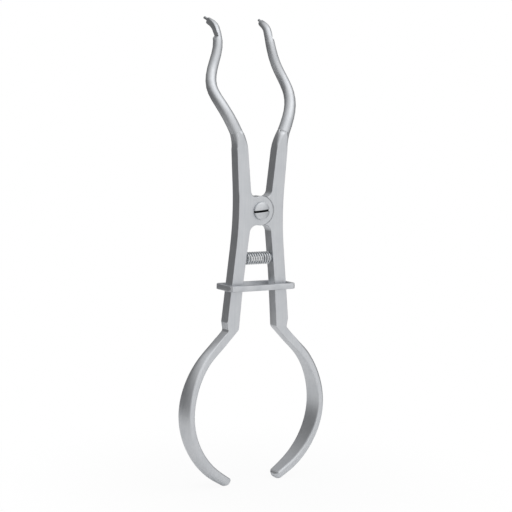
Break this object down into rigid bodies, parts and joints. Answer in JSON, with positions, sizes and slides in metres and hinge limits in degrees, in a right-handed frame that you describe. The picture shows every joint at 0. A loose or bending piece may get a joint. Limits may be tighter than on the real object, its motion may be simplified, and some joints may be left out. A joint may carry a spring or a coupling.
{
  "type": "rubber dam clamp forceps",
  "caption": "Rubber dam clamp forceps: two steel levers lapped at a slotted pivot screw, curved round arms with small pegs, a coil spring, a sliding locking ring and bowed handles.",
  "frame": {"origin": "on the hinge axis, in the plane of the levers' front faces, which is also the floor of the screw's slot", "axes": "+X to the instrument's right, +Y from the front faces to the back, +Z from the handles to the tips"},
  "size_m": [0.06, 0.027, 0.1713],
  "materials": {
    "satin_steel": "satin",
    "turned_steel": "satin",
    "spring_steel": "satin"
  },
  "bodies": {
    "right_side": {"right_lever": "satin_steel", "pivot_screw": "turned_steel", "right_spring_pin": "turned_steel"},
    "left_side": {"left_lever": "satin_steel", "left_spring_pin": "turned_steel", "spring": "spring_steel"},
    "ring": {"locking_ring": "satin_steel"}
  },
  "joints": [
    {"name": "hinge", "type": "hinge", "parent": "right_side", "child": "left_side", "pos_m": [0, 0.0022, 0], "axis": [0, 1, 0], "range_deg": [-6.7, 11.5], "stiffness_Nm_per_rad": 0.9, "springref_deg": 12.61, "deforming": ["spring"]},
    {"name": "ring_slide", "type": "slide", "parent": "right_side", "child": "ring", "axis": [-0.109, 0, 0.994], "range_m": [-0.00994, 0.01706]}
  ],
  "couplings": [
    {"joint": "ring_slide", "follows": "hinge", "m_per_rad": 0.085}
  ]
}
